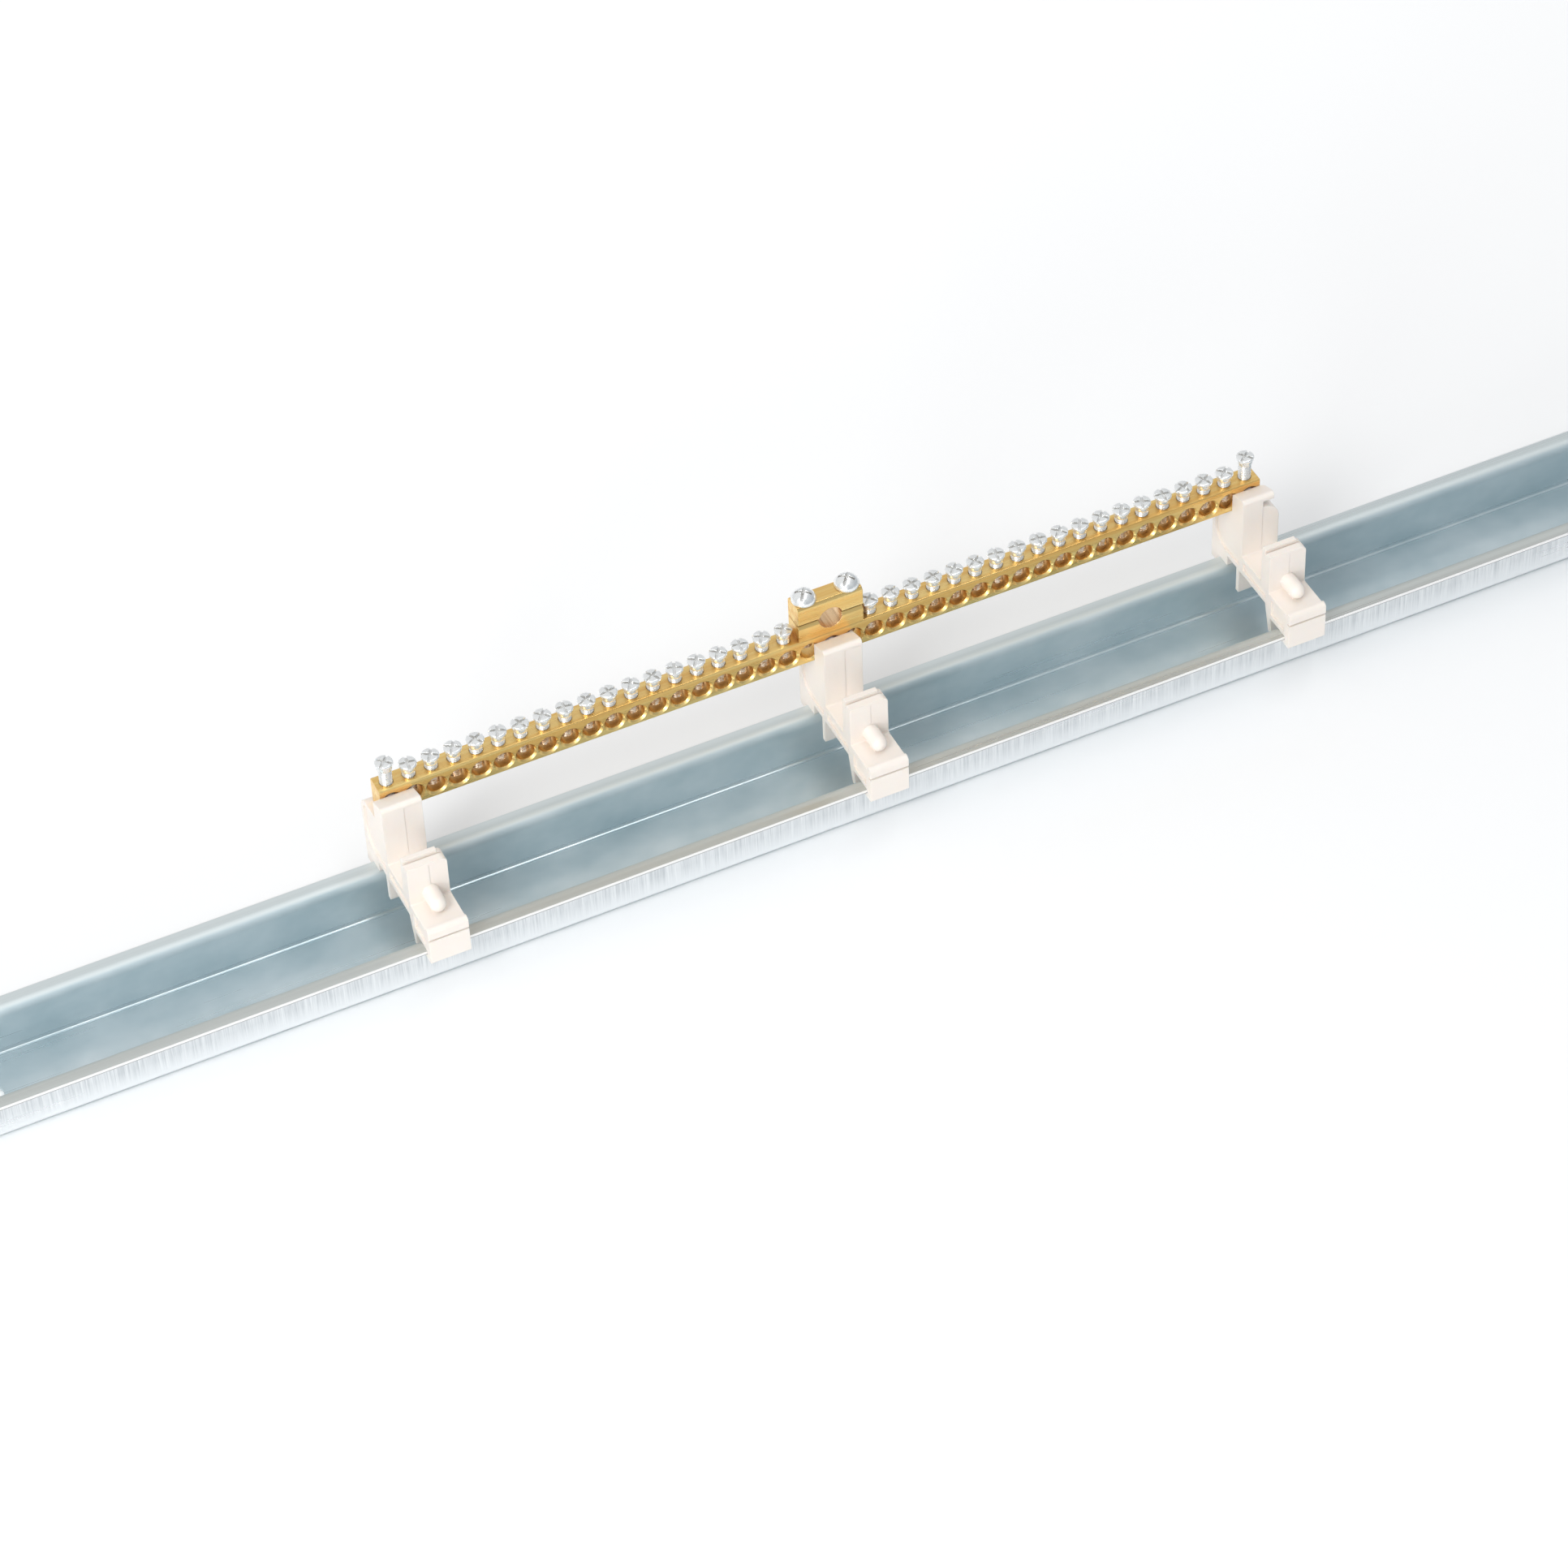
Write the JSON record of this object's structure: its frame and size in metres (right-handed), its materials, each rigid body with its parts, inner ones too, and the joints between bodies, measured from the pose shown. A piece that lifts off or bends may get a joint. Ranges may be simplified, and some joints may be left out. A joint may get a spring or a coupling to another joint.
{
  "type": "earth terminal bar",
  "caption": "Drilled brass earth bar with tall-headed terminal screws and a split main clamp, held above a 35 mm top-hat rail by clip-on plastic holders.",
  "frame": {"origin": "middle of the rail's underside, below the middle way of the bar", "axes": "+X along the rail and the bar, +Y across the rail away from the wire side, +Z from the rail's back up to the screw heads"},
  "size_m": [0.53, 0.0415, 0.0581],
  "materials": {
    "galvanised_steel": "zinc-plated, drawn lengthways, satin",
    "brass": "extruded, fine lengthways lines",
    "zinc_screw": "bright zinc",
    "cream_plastic": "smooth moulded, satin"
  },
  "bodies": {
    "root": {"din_rail": "galvanised_steel", "earth_bar": "brass", "clamp_block_lower": "brass", "clamp_block_upper": "brass", "clamp_screw_left": "zinc_screw", "clamp_screw_right": "zinc_screw", "holder_left": "cream_plastic", "holder_middle": "cream_plastic", "holder_right": "cream_plastic", "terminal_screw_01": "zinc_screw", "terminal_screw_02": "zinc_screw", "terminal_screw_03": "zinc_screw", "terminal_screw_04": "zinc_screw", "terminal_screw_05": "zinc_screw", "terminal_screw_06": "zinc_screw", "terminal_screw_07": "zinc_screw", "terminal_screw_08": "zinc_screw", "terminal_screw_09": "zinc_screw", "terminal_screw_10": "zinc_screw", "terminal_screw_11": "zinc_screw", "terminal_screw_12": "zinc_screw", "terminal_screw_13": "zinc_screw", "terminal_screw_14": "zinc_screw", "terminal_screw_15": "zinc_screw", "terminal_screw_16": "zinc_screw", "terminal_screw_17": "zinc_screw", "terminal_screw_18": "zinc_screw", "terminal_screw_19": "zinc_screw", "terminal_screw_23": "zinc_screw", "terminal_screw_24": "zinc_screw", "terminal_screw_25": "zinc_screw", "terminal_screw_26": "zinc_screw", "terminal_screw_27": "zinc_screw", "terminal_screw_28": "zinc_screw", "terminal_screw_29": "zinc_screw", "terminal_screw_30": "zinc_screw", "terminal_screw_31": "zinc_screw", "terminal_screw_32": "zinc_screw", "terminal_screw_33": "zinc_screw", "terminal_screw_34": "zinc_screw", "terminal_screw_35": "zinc_screw", "terminal_screw_36": "zinc_screw", "terminal_screw_37": "zinc_screw", "terminal_screw_38": "zinc_screw", "terminal_screw_39": "zinc_screw", "terminal_screw_40": "zinc_screw", "terminal_screw_41": "zinc_screw"}
  },
  "joints": []
}
